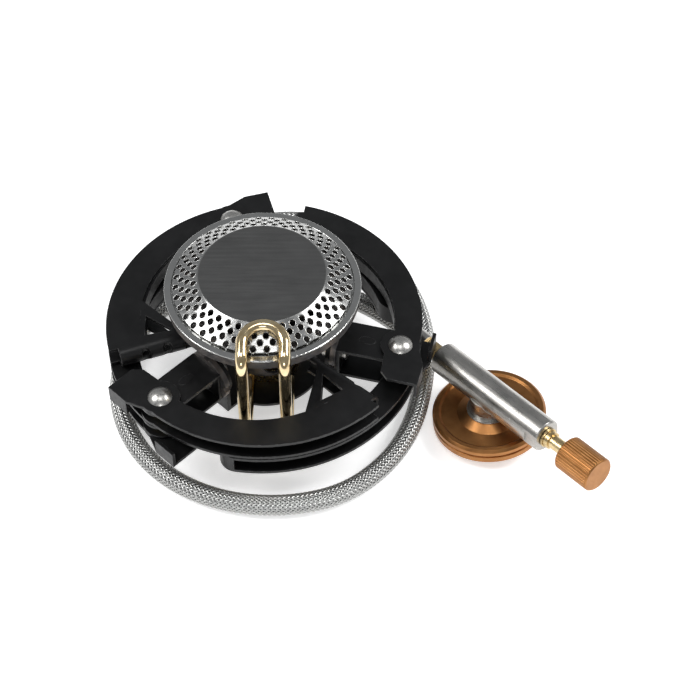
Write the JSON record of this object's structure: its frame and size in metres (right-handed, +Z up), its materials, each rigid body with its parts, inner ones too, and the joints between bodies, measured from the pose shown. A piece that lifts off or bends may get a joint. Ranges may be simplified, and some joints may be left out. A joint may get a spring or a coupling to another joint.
{
  "type": "canister stove",
  "caption": "Folding remote canister stove: perforated burner head, hinged pot supports and feet folded as a ring, braided gas hose and a valve with a screw collar.",
  "frame": {"origin": "centre of the round bolt head under the burner, on the surface that the stowed stove lies on", "axes": "+Z up along the burner's axis, +X level towards the valve's side, +Y level towards the far side of the ring"},
  "size_m": [0.1775, 0.1449, 0.0617],
  "materials": {
    "cap_steel": "polished pressed stainless sheet, matt brushed centre",
    "burner_steel": "heat-darkened steel, satin",
    "black_paint": "satin black coating with fine grain and lighter worn edges",
    "plated_steel": "satin nickel plate",
    "brass": "turned brass, lightly tarnished",
    "tube_brass": "polished bent tube",
    "copper": "pressed copper, satin",
    "hose_braid": "fine woven wire braid with dark gaps",
    "ferrule_steel": "crimped plated sleeve, satin",
    "valve_alloy": "worn nickel plate with fine scratches",
    "bronze_anodised": "bronze anodised aluminium, satin",
    "seal_rubber": "matt black rubber"
  },
  "bodies": {
    "burner": {"burner_cap": "cap_steel", "crimp_ring": "cap_steel", "burner_bowl": "burner_steel", "flame_spreader": "burner_steel", "mixing_tube": "burner_steel", "jet_block": "brass", "gas_jet": "brass", "banjo_bolt": "brass", "copper_washers": "copper", "base_plate": "black_paint", "preheat_tube": "tube_brass"},
    "bracket_1": {"bracket_1": "black_paint", "twist_disc_1": "burner_steel", "twist_pin_1": "plated_steel", "rivet_1": "plated_steel", "spacers_1": "brass"},
    "pot_support_1": {"pot_support_1": "black_paint"},
    "foot_1": {"foot_1": "black_paint"},
    "bracket_2": {"bracket_2": "black_paint", "twist_disc_2": "burner_steel", "twist_pin_2": "plated_steel", "rivet_2": "plated_steel", "spacers_2": "brass"},
    "pot_support_2": {"pot_support_2": "black_paint"},
    "foot_2": {"foot_2": "black_paint"},
    "bracket_3": {"bracket_3": "black_paint", "twist_disc_3": "burner_steel", "twist_pin_3": "plated_steel", "rivet_3": "plated_steel", "spacers_3": "brass"},
    "pot_support_3": {"pot_support_3": "black_paint"},
    "foot_3": {"foot_3": "black_paint"},
    "hose_set": {"inlet_swivel": "brass", "inlet_ferrule": "ferrule_steel", "hose": "hose_braid", "valve_ferrule": "ferrule_steel", "tail_fitting": "brass", "valve_body": "valve_alloy", "collar_boss": "valve_alloy", "canister_collar": "bronze_anodised", "inlet_seal": "seal_rubber", "gland_ring": "brass"},
    "knob": {"spindle": "brass", "knob": "bronze_anodised"}
  },
  "joints": [
    {"name": "leg_1_twist", "type": "hinge", "parent": "burner", "child": "bracket_1", "pos_m": [-0.00754, 0.02717, 0.02575], "axis": [-0.2672, 0.9636, 0], "range_deg": [0, 90], "deforming": ["hose"]},
    {"name": "pot_support_1_swing", "type": "hinge", "parent": "bracket_1", "child": "pot_support_1", "pos_m": [-0.01336, 0.04818, 0.02575], "axis": [0, 0, -1], "range_deg": [0, 94]},
    {"name": "foot_1_swing", "type": "hinge", "parent": "bracket_1", "child": "foot_1", "pos_m": [-0.01336, 0.04818, 0.02575], "axis": [0, 0, 1], "range_deg": [0, 94]},
    {"name": "leg_2_twist", "type": "hinge", "parent": "burner", "child": "bracket_2", "pos_m": [-0.01977, -0.02011, 0.02575], "axis": [-0.7009, -0.7133, 0], "range_deg": [0, 90], "deforming": ["hose"]},
    {"name": "pot_support_2_swing", "type": "hinge", "parent": "bracket_2", "child": "pot_support_2", "pos_m": [-0.03504, -0.03566, 0.02575], "axis": [0, 0, -1], "range_deg": [0, 94]},
    {"name": "foot_2_swing", "type": "hinge", "parent": "bracket_2", "child": "foot_2", "pos_m": [-0.03504, -0.03566, 0.02575], "axis": [0, 0, 1], "range_deg": [0, 94]},
    {"name": "leg_3_twist", "type": "hinge", "parent": "burner", "child": "bracket_3", "pos_m": [0.0273, -0.00706, 0.02575], "axis": [0.9681, -0.2504, 0], "range_deg": [0, 90], "deforming": ["hose"]},
    {"name": "pot_support_3_swing", "type": "hinge", "parent": "bracket_3", "child": "pot_support_3", "pos_m": [0.04841, -0.01252, 0.02575], "axis": [0, 0, -1], "range_deg": [0, 94]},
    {"name": "foot_3_swing", "type": "hinge", "parent": "bracket_3", "child": "foot_3", "pos_m": [0.04841, -0.01252, 0.02575], "axis": [0, 0, 1], "range_deg": [0, 94]},
    {"name": "hose_swivel", "type": "hinge", "parent": "burner", "child": "hose_set", "pos_m": [0, 0, 0.0052], "axis": [0, 0, 1], "range_deg": [0, 35]},
    {"name": "knob_turn", "type": "hinge", "parent": "hose_set", "child": "knob", "pos_m": [0.08, -0.0209, 0.01758], "axis": [0.6446, -0.7547, 0.1219], "range_deg": [0, 540]}
  ],
  "couplings": [
    {"joint": "pot_support_1_swing", "follows": "leg_1_twist", "ratio": 1.0444},
    {"joint": "foot_1_swing", "follows": "leg_1_twist", "ratio": 1.0444},
    {"joint": "pot_support_2_swing", "follows": "leg_2_twist", "ratio": 1.0444},
    {"joint": "foot_2_swing", "follows": "leg_2_twist", "ratio": 1.0444},
    {"joint": "pot_support_3_swing", "follows": "leg_3_twist", "ratio": 1.0444},
    {"joint": "foot_3_swing", "follows": "leg_3_twist", "ratio": 1.0444},
    {"joint": "hose_swivel", "follows": "leg_3_twist", "ratio": 0.3888}
  ]
}
